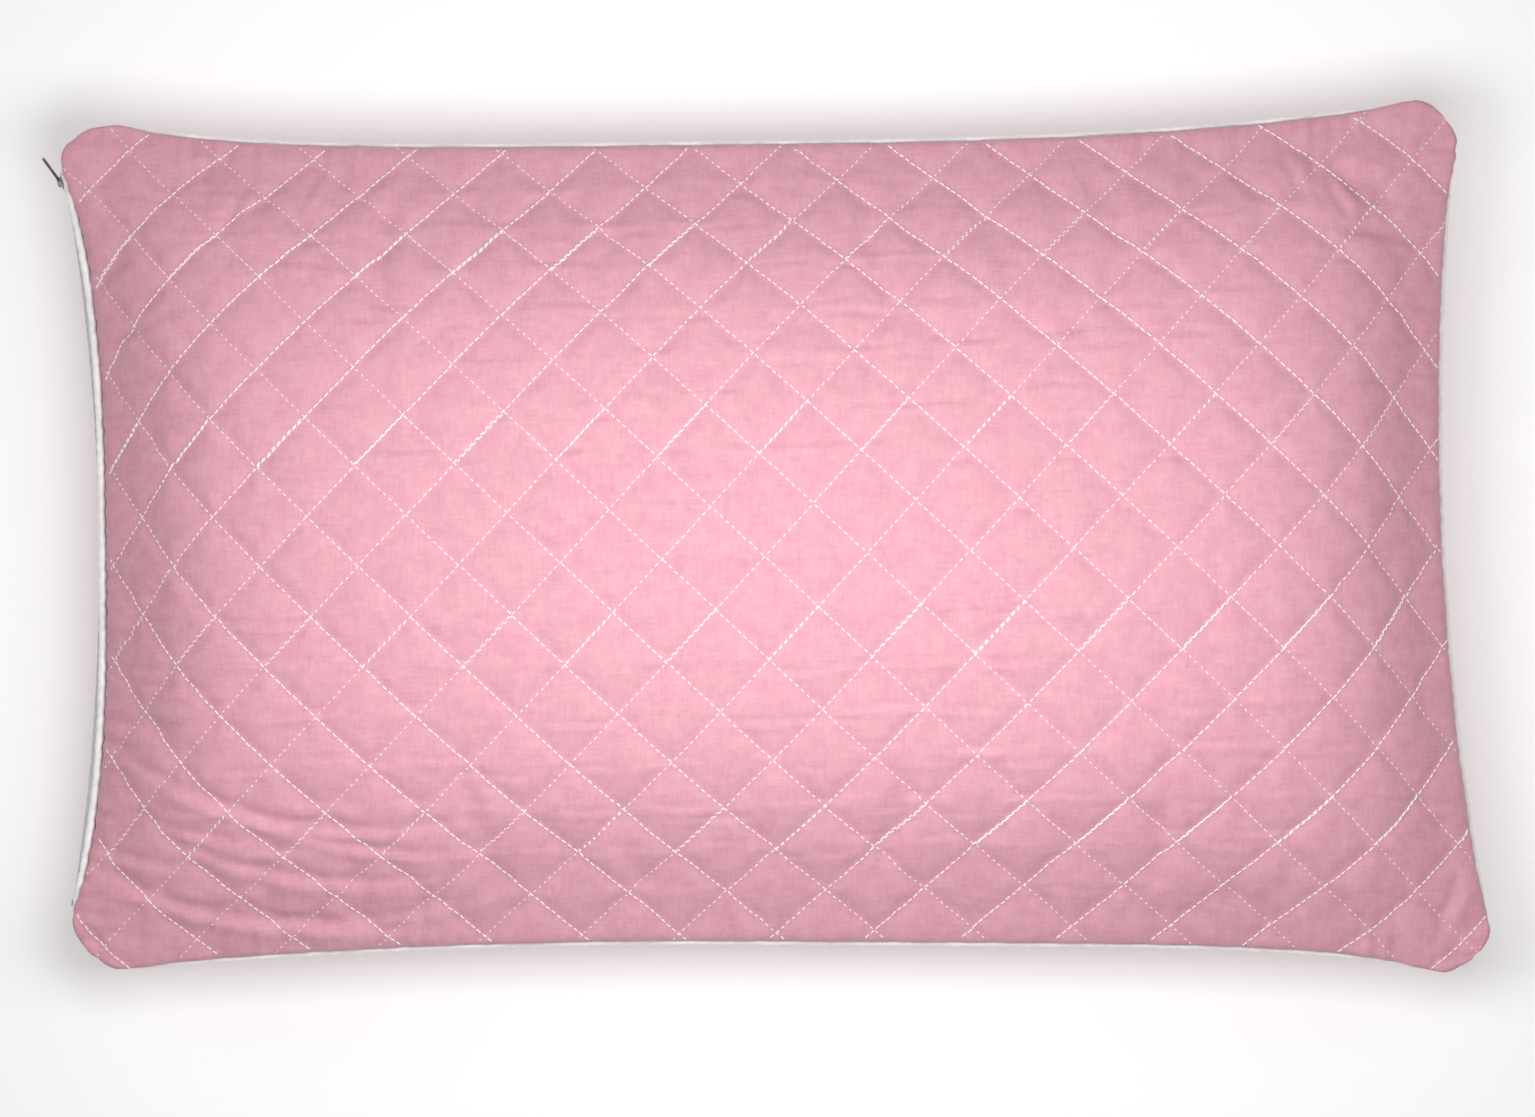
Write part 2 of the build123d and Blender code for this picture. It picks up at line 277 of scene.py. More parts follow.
def arcPlaces(points):
    # Flat cloth coordinates: distance along the cloth from its middle, both ways
    rows, columns = points.shape[0] // 2, points.shape[1] // 2
    stepU = np.linalg.norm(np.diff(points, axis=1), axis=-1)
    stepV = np.linalg.norm(np.diff(points, axis=0), axis=-1)
    s = np.concatenate([np.zeros((points.shape[0], 1)), np.cumsum(stepU, axis=1)], axis=1)
    t = np.concatenate([np.zeros((1, points.shape[1])), np.cumsum(stepV, axis=0)], axis=0)
    return s - s[:, columns:columns + 1], t - t[rows:rows + 1, :]


def gridFaces(rows, columns, first=0, flip=False):
    index = first + np.arange(rows * columns).reshape(rows, columns)
    quads = np.stack([index[:-1, :-1], index[:-1, 1:], index[1:, 1:], index[1:, :-1]], axis=-1).reshape(-1, 4)
    return quads[:, ::-1] if flip else quads


def ringOf(rows, columns, step=1):
    index = np.arange(rows * columns).reshape(rows, columns)
    return np.concatenate([
        index[0, :-1:step], index[:-1:step, -1], index[-1, :0:-step], index[:0:-step, 0],
    ])


def makeMesh(name, points, faces, smooth=True):
    mesh = bpy.data.meshes.new(name)
    mesh.from_pydata((np.asarray(points) * mm).tolist(), [], [list(map(int, face)) for face in faces])
    mesh.validate()
    if smooth:
        mesh.shade_smooth()
    piece = bpy.data.objects.new(name, mesh)
    bpy.context.scene.collection.objects.link(piece)
    return piece


def finishPiece(piece, material, body="pillow", replaced=()):
    piece.data.materials.append(material)
    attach(piece, body)
    if replaced:
        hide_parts(*replaced)
    return piece


def linearColour(hexText):
    channels = [int(hexText[i:i + 2], 16) / 255 for i in (1, 3, 5)]
    linear = [c / 12.92 if c <= 0.04045 else ((c + 0.055) / 1.055) ** 2.4 for c in channels]
    return (*linear, 1.0)


def addNode(tree, kind, settings=None, links=None):
    node = tree.nodes.new(kind)
    for key, value in (settings or {}).items():
        if isinstance(key, int) or key in node.inputs:
            node.inputs[key].default_value = value
        else:
            setattr(node, key, value)
    for key, source in (links or {}).items():
        tree.links.new(source, node.inputs[key])
    return node


def newMaterial(name):
    material = bpy.data.materials.new(name)
    material.use_nodes = True
    material.node_tree.nodes.clear()
    return material, material.node_tree


def placeCoordinates(tree, size):
    # The piece's own coordinates, with this many millimetres to the unit
    coordinates = addNode(tree, "ShaderNodeTexCoord")
    return addNode(tree, "ShaderNodeMapping", {"Scale": (1000 / size,) * 3}, {
        "Vector": coordinates.outputs["Object"],
    }).outputs["Vector"]


def closeMaterial(tree, shader):
    addNode(tree, "ShaderNodeOutputMaterial", None, {"Surface": shader.outputs["BSDF"]})


def rampBetween(tree, factor, stops):
    ramp = addNode(tree, "ShaderNodeValToRGB", None, {"Fac": factor})
    elements = ramp.color_ramp.elements
    while len(elements) < len(stops):
        elements.new(0.5)
    for element, (place, colour) in zip(elements, stops):
        element.position = place
        element.color = linearColour(colour)
    return ramp.outputs["Color"]


microfibre = {
    "light": "#E2A9B5",
    "middle": "#DCA0AE",
    "deep": "#D497A6",
    "threadSpacing": 1.1,  # mm; real threads are 0.3 mm apart, drawn coarser so that they show
    "blotch": 9.0,  # mm across one soft cloud of the brushed nap
    "roughness": 0.78,
    "sheen": 0.25,
}


def brushedMicrofibre():
    # Polyester microfibre, woven then brushed: soft, nearly matt, with a pale edge glow
    material, tree = newMaterial("brushedPolyesterMicrofibre")
    threads = placeCoordinates(tree, microfibre["threadSpacing"])
    clouds = placeCoordinates(tree, microfibre["blotch"])
    nap = addNode(tree, "ShaderNodeTexNoise", {
        "Scale": 1.0, "Detail": 5.0, "Roughness": 0.62,
    }, {"Vector": clouds})
    squeezedX = addNode(tree, "ShaderNodeMapping", {"Scale": (1.0, 0.16, 0.16)}, {"Vector": threads})
    squeezedY = addNode(tree, "ShaderNodeMapping", {"Scale": (0.16, 1.0, 0.16)}, {"Vector": threads})
    warp = addNode(tree, "ShaderNodeTexNoise", {"Scale": 1.0, "Detail": 1.0}, {
        "Vector": squeezedX.outputs["Vector"],
    })
    weft = addNode(tree, "ShaderNodeTexNoise", {"Scale": 1.0, "Detail": 1.0}, {
        "Vector": squeezedY.outputs["Vector"],
    })
    weave = addNode(tree, "ShaderNodeMath", {"operation": "ADD"}, {
        0: warp.outputs["Fac"], 1: weft.outputs["Fac"],
    })
    weaveHalf = addNode(tree, "ShaderNodeMath", {"operation": "MULTIPLY", 1: 0.5}, {0: weave.outputs[0]})
    both = addNode(tree, "ShaderNodeMix", {"data_type": "FLOAT", 0: 0.45}, {
        2: weaveHalf.outputs[0], 3: nap.outputs["Fac"],
    })
    colour = rampBetween(tree, both.outputs[0], (
        (0.36, microfibre["deep"]), (0.5, microfibre["middle"]), (0.64, microfibre["light"]),
    ))
    bump = addNode(tree, "ShaderNodeBump", {"Strength": 0.25, "Distance": 0.0003}, {
        "Height": both.outputs[0],
    })
    shader = addNode(tree, "ShaderNodeBsdfPrincipled", {
        "Roughness": microfibre["roughness"], "Sheen Weight": microfibre["sheen"], "Sheen Roughness": 0.45,
        "Sheen Tint": linearColour("#FFE9EE"), "Specular IOR Level": 0.25, "IOR": 1.46,
    }, {"Base Color": colour, "Normal": bump.outputs["Normal"]})
    closeMaterial(tree, shader)
    return material


def plainTextile(name, stops, size, roughness, bumpDepth, stretch=(1, 1, 1), sheen=0.1, specular=0.3,
                 detail=3.0):
    material, tree = newMaterial(name)
    place = placeCoordinates(tree, size)
    squeezed = addNode(tree, "ShaderNodeMapping", {"Scale": stretch}, {"Vector": place})
    grain = addNode(tree, "ShaderNodeTexNoise", {"Scale": 1.0, "Detail": detail}, {
        "Vector": squeezed.outputs["Vector"],
    })
    colour = rampBetween(tree, grain.outputs["Fac"], stops)
    bump = addNode(tree, "ShaderNodeBump", {"Strength": 0.5, "Distance": bumpDepth * mm}, {
        "Height": grain.outputs["Fac"],
    })
    shader = addNode(tree, "ShaderNodeBsdfPrincipled", {
        "Roughness": roughness, "Sheen Weight": sheen, "Specular IOR Level": specular, "IOR": 1.5,
    }, {"Base Color": colour, "Normal": bump.outputs["Normal"]})
    closeMaterial(tree, shader)
    return material


def wovenTape():
    # Polyester zip tape, narrow weave: chalky white with fine ribs along it
    material, tree = newMaterial("wovenPolyesterTape")
    place = placeCoordinates(tree, 1.2)  # ribs are 0.5 mm apart, drawn at 1.2 mm so that they show
    ribs = addNode(tree, "ShaderNodeTexWave", {
        "wave_type": "BANDS", "bands_direction": "Y", "Scale": 0.5, "Distortion": 0.6, "Detail": 2.0,
    }, {"Vector": place})
    cross = addNode(tree, "ShaderNodeTexWave", {
        "wave_type": "BANDS", "bands_direction": "Z", "Scale": 0.8, "Distortion": 0.4,
    }, {"Vector": place})
    weave = addNode(tree, "ShaderNodeMath", {"operation": "MULTIPLY"}, {
        0: ribs.outputs["Fac"], 1: cross.outputs["Fac"],
    })
    colour = rampBetween(tree, weave.outputs[0], ((0.0, "#DDDCDD"), (0.6, "#F2F1F1")))
    bump = addNode(tree, "ShaderNodeBump", {"Strength": 0.6, "Distance": 0.0002}, {
        "Height": weave.outputs[0],
    })
    shader = addNode(tree, "ShaderNodeBsdfPrincipled", {
        "Roughness": 0.72, "Sheen Weight": 0.15, "Specular IOR Level": 0.3,
    }, {"Base Color": colour, "Normal": bump.outputs["Normal"]})
    closeMaterial(tree, shader)
    return material


def nylonMonofilament():
    # Nylon 66 monofilament, extruded: milky, smooth, slightly see-through
    material, tree = newMaterial("nylonMonofilament")
    place = placeCoordinates(tree, 2.0)
    mottle = addNode(tree, "ShaderNodeTexNoise", {"Scale": 1.0, "Detail": 2.0}, {"Vector": place})
    colour = rampBetween(tree, mottle.outputs["Fac"], ((0.35, "#E9E8EA"), (0.65, "#F7F6F7")))
    shader = addNode(tree, "ShaderNodeBsdfPrincipled", {
        "Roughness": 0.32, "IOR": 1.53, "Subsurface Weight": 0.15, "Subsurface Radius": (0.6 * mm,) * 3,
    }, {"Base Color": colour})
    closeMaterial(tree, shader)
    return material


def antiquedZinc():
    # Zinc alloy, die-cast, darkened and rubbed back: dark in the hollows, bright on worn edges
    material, tree = newMaterial("antiquedZincAlloy")
    place = placeCoordinates(tree, 2.5)
    tarnish = addNode(tree, "ShaderNodeTexNoise", {
        "Scale": 1.0, "Detail": 6.0, "Roughness": 0.6,
    }, {"Vector": place})
    edges = addNode(tree, "ShaderNodeNewGeometry")
    worn = addNode(tree, "ShaderNodeMapRange", {
        "From Min": 0.5, "From Max": 0.62, "To Min": 0.0, "To Max": 0.6,
    }, {"Value": edges.outputs["Pointiness"]})
    shade = addNode(tree, "ShaderNodeMath", {"operation": "ADD", "use_clamp": True}, {
        0: tarnish.outputs["Fac"], 1: worn.outputs["Result"],
    })
    colour = rampBetween(tree, shade.outputs[0], ((0.35, "#5A5352"), (0.55, "#857C79"), (0.85, "#D9D4CF")))
    rough = addNode(tree, "ShaderNodeMapRange", {
        "From Min": 0.3, "From Max": 0.8, "To Min": 0.48, "To Max": 0.25,
    }, {"Value": shade.outputs[0]})
    bump = addNode(tree, "ShaderNodeBump", {"Strength": 0.2, "Distance": 0.0001}, {
        "Height": tarnish.outputs["Fac"],
    })
    shader = addNode(tree, "ShaderNodeBsdfPrincipled", {"Metallic": 1.0}, {
        "Base Color": colour, "Roughness": rough.outputs["Result"], "Normal": bump.outputs["Normal"],
    })
    closeMaterial(tree, shader)
    return material


pinkCloth = brushedMicrofibre()
# Bias-cut satin: smooth white with a soft glow along the roll
satin = plainTextile("whiteSatinBias", ((0.35, "#F6F4F6"), (0.65, "#FFFFFF")), 2.5, 0.42, 0.15,
                     sheen=0.2, specular=0.5)
# Spun polyester thread, two-ply: chalk white, a little fuzzy
thread = plainTextile("spunPolyesterThread", ((0.3, "#F1EEF0"), (0.7, "#FFFFFF")), 0.8, 0.6, 0.1, sheen=0.2)
# Bonded polyester wadding: open, cloudy fibres
waddingFibre = plainTextile("bondedPolyesterWadding", ((0.3, "#DEDDDA"), (0.7, "#F5F4F1")), 6.0, 0.9, 1.5,
                            detail=8.0)
# Spunbond nonwoven: papery, with faint random strands
spunbond = plainTextile("spunbondNonwoven", ((0.35, "#E6E6E6"), (0.65, "#F6F6F6")), 3.0, 0.8, 0.2, detail=6.0)
# Polycotton casing, plain weave: flat white with fine slubs
casing = plainTextile("polycottonCasing", ((0.3, "#E9E8E6"), (0.7, "#F9F8F6")), 1.5, 0.75, 0.15,
                      stretch=(1, 0.2, 1))
# Twisted cotton filler cord: warm white strands
cotton = plainTextile("twistedCottonCord", ((0.3, "#DCD7CB"), (0.7, "#F1EDE3")), 1.2, 0.85, 0.3,
                      stretch=(1, 1, 3))
# Hollow polyester fibre, blown: white, lumpy and soft
fibre = plainTextile("blownPolyesterFibre", ((0.3, "#E4E4E4"), (0.7, "#FCFCFC")), 14.0, 0.95, 3.0, detail=9.0)
tapeCloth = wovenTape()
coilNylon = nylonMonofilament()
zinc = antiquedZinc()
print("materials made")

filling = {
    "cell": 7.0,  # mm between the simulated cloth's points
    "pressure": 4.0,
    "quality": 5,
    "mass": 0.3,
    "bending": 0.4,
    "steps": 20,
    "slack": -0.012,  # the cloth is cut this much larger than the shape it starts from
    "startShrink": 0.96,  # the start is a little flatter than the shape it swells to
    "limit": 8.0,  # mm a point may move
    "sideShare": 0.4,  # how much of the sideways swelling is kept
    "calmEdge": 42.0,  # mm in from the seam where the swelling starts to show in full
}


def swell(startPoints, faces, pinned):
    # Cloth with air pressure inside, held along the seam and where it rests
    piece = makeMesh("swellingCloth", startPoints, faces)
    group = piece.vertex_groups.new(name="held")
    group.add(np.flatnonzero(pinned).tolist(), 1.0, "REPLACE")
    cloth = piece.modifiers.new("cloth", "CLOTH")
    settings = cloth.settings
    settings.quality = filling["quality"]
    settings.mass = filling["mass"]
    settings.vertex_group_mass = "held"
    settings.use_pressure = True
    settings.uniform_pressure_force = filling["pressure"]
    settings.shrink_min = filling["slack"]
    settings.bending_stiffness = filling["bending"]
    settings.effector_weights.gravity = 0
    cloth.collision_settings.use_collision = False
    for step in range(1, filling["steps"] + 1):
        bpy.context.scene.frame_set(step)
    shaped = piece.evaluated_get(bpy.context.evaluated_depsgraph_get())
    flat = np.empty(len(startPoints) * 3)
    shaped.data.vertices.foreach_get("co", flat)
    bpy.data.objects.remove(piece)
    bpy.context.scene.frame_set(1)
    return flat.reshape(-1, 3) / mm


def filledShapes():
    # How far the simulation moves the face and the back, on a coarse grid
    countU = int(pillow["length"] / filling["cell"])
    countV = int(pillow["width"] / filling["cell"])
    u, v = sheetGrid(countU, countV)
    face = baseSheet(u, v, faceHeight, 1, leaning=False)
    back = baseSheet(u, v, backHeight, -1, leaning=False)
    rows, columns = u.shape
    first = rows * columns
    start = np.concatenate([face.reshape(-1, 3), back.reshape(-1, 3)])
    start[:, 2] *= filling["startShrink"]
    ring = ringOf(rows, columns)
    after = np.roll(ring, -1)
    rim = np.stack([ring, ring + first, after + first, after], axis=-1)
    faces = np.concatenate([gridFaces(rows, columns), gridFaces(rows, columns, first, flip=True), rim])
    pinned = np.zeros(len(start), bool)
    pinned[ring] = pinned[ring + first] = True
    pinned |= start[:, 2] < -(pillow["restDepth"] - pillow["restMargin"]) * filling["startShrink"]
    moved = swell(start, faces, pinned)
    shift = moved - start
    shift[:, 2] -= start[:, 2] * (1 - 1 / filling["startShrink"])
    shift[:, :2] *= filling["sideShare"]
    reach = np.linalg.norm(shift, axis=-1, keepdims=True)
    shift *= 1 / np.sqrt(1 + (reach / filling["limit"]) ** 2)
    shift[pinned] = 0
    calm = smoothStep(edgeDistance(u, v)[0] / filling["calmEdge"]).reshape(-1, 1)
    shift *= np.concatenate([calm, calm])
    print("swelling moved the cloth by up to", round(float(reach.max()), 1), "mm, mean",
          round(float(reach.mean()), 1))
    return shift[:first].reshape(rows, columns, 3), shift[first:].reshape(rows, columns, 3)


faceShift, backShift = filledShapes()
print("filling done")

quilting = {
    # From a crossing half a diamond on, in millimetres on the flat cloth
    "lengthStep": (24.9, 0.7),
    "widthStep": (-0.4, 25.1),
    "origin": (24.8, 18.8),  # a crossing, from the middle of the cloth
    # How far the sewing has pulled the lines askew, (along, across), by this far from the middle
    "driftSpan": (300, 180),
    "cornerPull": (-8.0, -5.0),
    "skew": (-3.5, 2.6),
    "sag": (3.5, -2.0),
    "bow": (2.5, 4.0),
    "clothLimit": (400, 260),  # the drift stops growing out here
    "depth": 1.3,
    "reach": 4.2,  # mm from a seam to where the cloth has risen
    "loft": 0.7,
    "pitch": 3.8,  # stitch length with its gap
    "dash": 2.35,
    "dashShare": (0.4, 0.29),  # of a dash's length: always there, and added where the line runs round
    "shortestDoubled": 1.5,
    "lengthChange": (0.86, 1.12),
    "threadRadius": 0.31,
    "threadShare": (0.88, 0.32),
    "unevenStart": 0.1,
    "jog": 0.3,  # how far a run of dashes sits to one side
    "aside": 0.1,
    # Each stitch's four rings: place along it, lift out of the cloth, and share of its radius
    "ringPlaces": (-1.0, -0.62, 0.62, 1.0),
    "ringLift": (-0.36, 0.14, 0.14, -0.36),
    "ringRadii": (0.7, 1.0, 1.0, 0.7),
    "cornerArea": 30000,  # where the lines turn fully round a corner: along times across
    "lines": 17,  # each way from the middle
    "lineReach": 19,
    "outside": 30,  # mm past the panel where stitches are no longer placed
    "edgeMargin": 3.0,
    "doubledRows": 4,  # every fourth row of half diamonds is sewn twice
    "doubleGap": 0.85,
}


def clothDrift(s, t):
    x, y = s / quilting["driftSpan"][0], t / quilting["driftSpan"][1]
    pull, skew, sag, bow = (quilting[key] for key in ("cornerPull", "skew", "sag", "bow"))
    alongS = pull[0] * x * y * y + skew[0] * x * y + sag[0] * x * x - bow[0] * y * y
    acrossT = pull[1] * x * x * y + skew[1] * x * y + sag[1] * y * y - bow[1] * x**3
    return alongS, acrossT


def quiltPlaces(s, t):
    # Place in half diamonds: whole numbers with an even sum are crossings
    driftS, driftT = clothDrift(s, t)
    (aS, aT), (bS, bT) = quilting["lengthStep"], quilting["widthStep"]
    x, y = s - driftS - quilting["origin"][0], t - driftT - quilting["origin"][1]
    size = aS * bT - aT * bS
    return (x * bT - y * bS) / size, (y * aS - x * aT) / size


def quiltToCloth(i, j):
    (aS, aT), (bS, bT) = quilting["lengthStep"], quilting["widthStep"]
    flatS = quilting["origin"][0] + i * aS + j * bS
    flatT = quilting["origin"][1] + i * aT + j * bT
    limitS, limitT = quilting["clothLimit"]
    s, t = flatS, flatT
    for _ in range(6):
        driftS, driftT = clothDrift(np.clip(s, -limitS, limitS), np.clip(t, -limitT, limitT))
        s, t = flatS + driftS, flatT + driftT
    return s, t


def quiltRelief(s, t):
    i, j = quiltPlaces(s, t)
    perLine = 2 / math.hypot(1 / quilting["lengthStep"][0], 1 / quilting["widthStep"][1])
    falling, rising = (i + j) / 2, (i - j) / 2
    nearFalling = np.abs(falling - np.round(falling)) * perLine
    nearRising = np.abs(rising - np.round(rising)) * perLine
    fallingGroove = np.exp(-(nearFalling / quilting["reach"]) ** 2)
    groove = np.maximum(fallingGroove, np.exp(-(nearRising / quilting["reach"]) ** 2))
    mound = np.minimum(nearFalling, nearRising) / (perLine / 2)
    return quilting["loft"] * smoothStep(mound) - quilting["depth"] * groove, groove


puckers = {
    "height": 0.55,
    "reach": 16.0,
    "waves": (7.5, 10.5, 14.0),  # mm between puckers, mixed
    "lean": 0.25,
    "wander": (2.2, 3.1),  # how much a wave's spacing changes, and over how many waves
    "patches": (0.55, 0.45),  # steady share of the height, and the share that comes and goes
    "patchWaves": (37.0, 19.0),
    "seamFade": 2.0,
}


def edgePuckers(u, v, s, t, seed):
    rng = np.random.default_rng(seed)
    wander, stretch = puckers["wander"]
    steady, changing = puckers["patches"]
    longPatch, shortPatch = puckers["patchWaves"]
    relief = np.zeros_like(s)
    for distance, along in (
        ((1 - u) * halfLength, t), ((1 + u) * halfLength, t),
        ((1 - v) * halfWidth, s), ((1 + v) * halfWidth, s),
    ):
        ripple = np.zeros_like(s)
        for wave in puckers["waves"]:
            lean = distance * rng.uniform(-puckers["lean"], puckers["lean"])
            bend = wander * np.sin(along / (wave * stretch) + rng.uniform(0, 6))
            ripple += np.sin((along + lean) * 2 * math.pi / wave + bend)
        swing = changing * np.sin(along / longPatch + rng.uniform(0, 6))
        patchy = steady + swing * np.sin(along / shortPatch + rng.uniform(0, 6))
        fade = np.exp(-distance / puckers["reach"]) * (1 - np.exp(-distance / puckers["seamFade"]))
        relief += puckers["height"] * ripple * patchy * fade
    return relief


creases = {
    "size": (13.0, 2.1),  # mm: half length and half width of a short crease
    "depth": 0.95,
    "chance": 0.78,
    "bend": 0.0022,
    # Across a crease: the ridge's height, and the valley's place and width as shares of the half width
    "ridge": 0.8,
    "valley": (0.2, 0.8),
    # The short ones: one for each crossing, this many either way
    "columns": 15,
    "rows": 10,
    "jump": (0.33, 0.28),
    "margin": (20, 25),
    "fade": (0.45, 0.55, 110),  # shallower towards the long sides
    "sizeChange": 0.45,
    "tilt": 5,
    "patch": (34, 14),  # mm each way that one can reach
    # Longer creases, listed one by one: (x, y, angle, half length, half width, depth), mm and degrees
    "long": (
        (-250, -135, -13.5, 74, 4.0, 2.3), (-287, -143, -13, 26, 3.2, 1.6), (-232, -166, -8.5, 58, 3.6, 2.0),
        (-262, -187, -8.5, 82, 4.2, 2.4), (-215, -192, -6, 46, 3.0, 1.3), (-316, -157, -12, 24, 3.6, 1.7),
        (-205, -150, -10, 40, 3.0, 1.4), (-318, -92, -6, 24, 3.4, 1.5), (-296, -72, -3, 30, 3.0, 1.2),
        (-322, -48, 4, 20, 3.4, 1.4), (-286, -30, -2, 34, 2.8, 1.1), (-318, -8, -6, 20, 3.0, 1.1),
        (-9, 190, 88, 15, 3.5, 1.7), (-19, -194, 92, 14, 3.5, 1.8), (340, -182, 70, 16, 4.0, 1.8),
        (-332, 128, 40, 20, 4.2, 1.5), (-314, 104, 18, 22, 3.8, 1.4), (-322, 78, 10, 20, 3.6, 1.4),
        (-262, 168, 62, 15, 3.6, 1.2), (-226, 176, 66, 13, 3.4, 1.1), (-276, 150, 8, 18, 3.0, 1.1),
        (282, 172, 118, 14, 3.8, 1.5), (262, 180, 112, 12, 3.4, 1.3), (302, 152, -6, 26, 3.2, 1.3),
        (312, 118, -4, 22, 3.0, 1.3), (322, 84, -8, 18, 3.0, 1.2), (-14, 130, 84, 12, 2.5, 0.9),
    ),
}


def creaseRelief(x, y, place):
    middleX, middleY, angle, halfLong, halfWide, depth = place
    turn = math.radians(angle)
    along = (x - middleX) * math.cos(turn) + (y - middleY) * math.sin(turn)
    across = -(x - middleX) * math.sin(turn) + (y - middleY) * math.cos(turn)
    across = across - creases["bend"] * along * along
    valleyPlace, valleyWidth = creases["valley"]
    ridge = creases["ridge"] * np.exp(-((across + halfWide) / halfWide) ** 2)
    valley = np.exp(-((across - halfWide * valleyPlace) / (halfWide * valleyWidth)) ** 2)
    return depth * (ridge - valley) * np.exp(-(along / halfLong) ** 2)


def shortCreases(s, t, seed):
    # Short level creases where the lines of stitching have drawn the cloth together
    rng = np.random.default_rng(seed)
    (along, across), (marginS, marginT) = creases["jump"], creases["margin"]
    patchS, patchT = creases["patch"]
    kept, fading, fadeReach = creases["fade"]
    relief = np.zeros_like(s)
    for column in range(-creases["columns"], creases["columns"] + 1):
        for row in range(-creases["rows"], creases["rows"] + 1):
            jumpX, jumpY, tilt, size, chance = rng.uniform(-1, 1, 5)
            placeS, placeT = map(float, quiltToCloth(column + jumpX * along, row + jumpY * across))
            inside = abs(placeS) < halfLength - marginS and abs(placeT) < halfWidth - marginT
            if not inside or chance > creases["chance"] * 2 - 1:
                continue
            fade = kept + fading * math.exp(-((placeT / fadeReach) ** 2))
            scale = 1 + creases["sizeChange"] * size
            near = (np.abs(s - placeS) < patchS) & (np.abs(t - placeT) < patchT)
            relief[near] += creaseRelief(s[near], t[near], (
                placeS, placeT, creases["tilt"] * tilt, creases["size"][0] * scale, creases["size"][1],
                creases["depth"] * fade * scale,
            ))
    return relief


def longCreases(x, y):
    relief = np.zeros_like(x)
    for place in creases["long"]:
        relief += creaseRelief(x, y, place)
    return relief


panel = {
    "cell": 1.8,
    "thickness": 0.4,  # at the seam
    "quilted": 2.1,  # where the stitching's dips need the room
    "thickenReach": 9.0,
    "innerStep": 4,
    # Unevenness: its height in millimetres and how many humps along and across
    "broadHumps": (0.5, (26, 16)),
    "smallHumps": (0.16, (90, 56)),
    "grooveHumps": (0.18, (190, 116)),
    "reliefLimits": (-1.9, 2.2),
    "calmEdge": 7.0,
    "scallop": 0.5,
    "scallopWave": 9.0,
    "scallopReach": 5.0,
    "scallopEnd": 0.5,  # share of it at the end away from the zip
    "scallopFrom": 0.9,
}


def panelSheet(side, shift, height, seed):
    # The outer cloth of one panel: its smooth base, and the same with its relief
    countU = int(pillow["length"] / panel["cell"] / 8) * 8
    countV = int(pillow["width"] / panel["cell"] / 8) * 8
    u, v = sheetGrid(countU, countV)
    base = baseSheet(u, v, height, side) + spread(shift, countU, countV)
    if side < 0:
        base[..., 2] = np.maximum(base[..., 2], pillow["restMargin"] - pillow["restDepth"])
    s, t = arcPlaces(base)
    normal = normalsOf(base) * side
    relief, groove = quiltRelief(s, t)
    relief += edgePuckers(u, v, s, t, seed)
    relief += shortCreases(s, t, seed + 1)
    if side > 0:
        relief += longCreases(base[..., 0], base[..., 1])
    (broad, broadCells), (small, smallCells) = panel["broadHumps"], panel["smallHumps"]
    inGroove, grooveCells = panel["grooveHumps"]
    broadNoise = broad * smoothNoise(seed + 2, countU, countV, broadCells)
    relief += broadNoise + small * smoothNoise(seed + 3, countU, countV, smallCells)
    relief += inGroove * groove * smoothNoise(seed + 4, countU, countV, grooveCells)
    edge = edgeDistance(u, v)[0]
    relief = np.clip(relief, *panel["reliefLimits"]) * smoothStep(edge / panel["calmEdge"])
    outer = base + normal * relief[..., None]
    wave = np.sin(t * 2 * math.pi / panel["scallopWave"])
    scallop = panel["scallop"] * np.exp(-edge / panel["scallopReach"]) * wave
    outer[..., 0] += scallop * np.where(u < 0, 1, panel["scallopEnd"]) * (np.abs(u) > panel["scallopFrom"])
    if side < 0:
        outer[..., 2] = np.maximum(outer[..., 2], -pillow["restDepth"])
    return {"u": u, "v": v, "s": s, "t": t, "base": base, "outer": outer, "normal": normal, "edge": edge}


def closedSheet(name, top, bottom, step, side):
    # A sheet with a fine outer surface, and an inner one with a point for every few of its points
    rows, columns = top.shape[:2]
    under = bottom[::step, ::step]
    first = rows * columns
    faces = gridFaces(rows, columns, 0, flip=side < 0).tolist()
    faces += gridFaces(under.shape[0], under.shape[1], first, flip=side > 0).tolist()
    ring = ringOf(rows, columns)
    innerRing = ringOf(under.shape[0], under.shape[1]) + first
    count = len(innerRing)
    for i in range(count):
        outerRun = [int(ring[(i * step + k) % len(ring)]) for k in range(step + 1)]
        rim = outerRun[::-1] + [int(innerRing[i]), int(innerRing[(i + 1) % count])]
        faces.append(rim if side > 0 else rim[::-1])
    points = np.concatenate([top.reshape(-1, 3), under.reshape(-1, 3)]) + middle
    return makeMesh(name, points, faces)


faceSheet = panelSheet(1, faceShift, faceHeight, 11)
backSheet = panelSheet(-1, backShift, backHeight, 29)


def lowered(sheet, depth):
    return sheet["base"] - sheet["normal"] * depth


def clothPanel(name, sheet, side, node):
    depth = panel["thickness"] + (panel["quilted"] - panel["thickness"]) * smoothStep(
        sheet["edge"] / panel["thickenReach"])
    inner = lowered(sheet, depth[..., None])
    piece = closedSheet(name, sheet["outer"], inner, panel["innerStep"], side)
    finishPiece(piece, pinkCloth, replaced=(node,))
    return piece


faceCloth = clothPanel("face_cloth", faceSheet, 1, "face_panel_cloth")
backCloth = clothPanel("back_cloth", backSheet, -1, "back_panel_cloth")
print("panels made", len(faceCloth.data.polygons), len(backCloth.data.polygons))

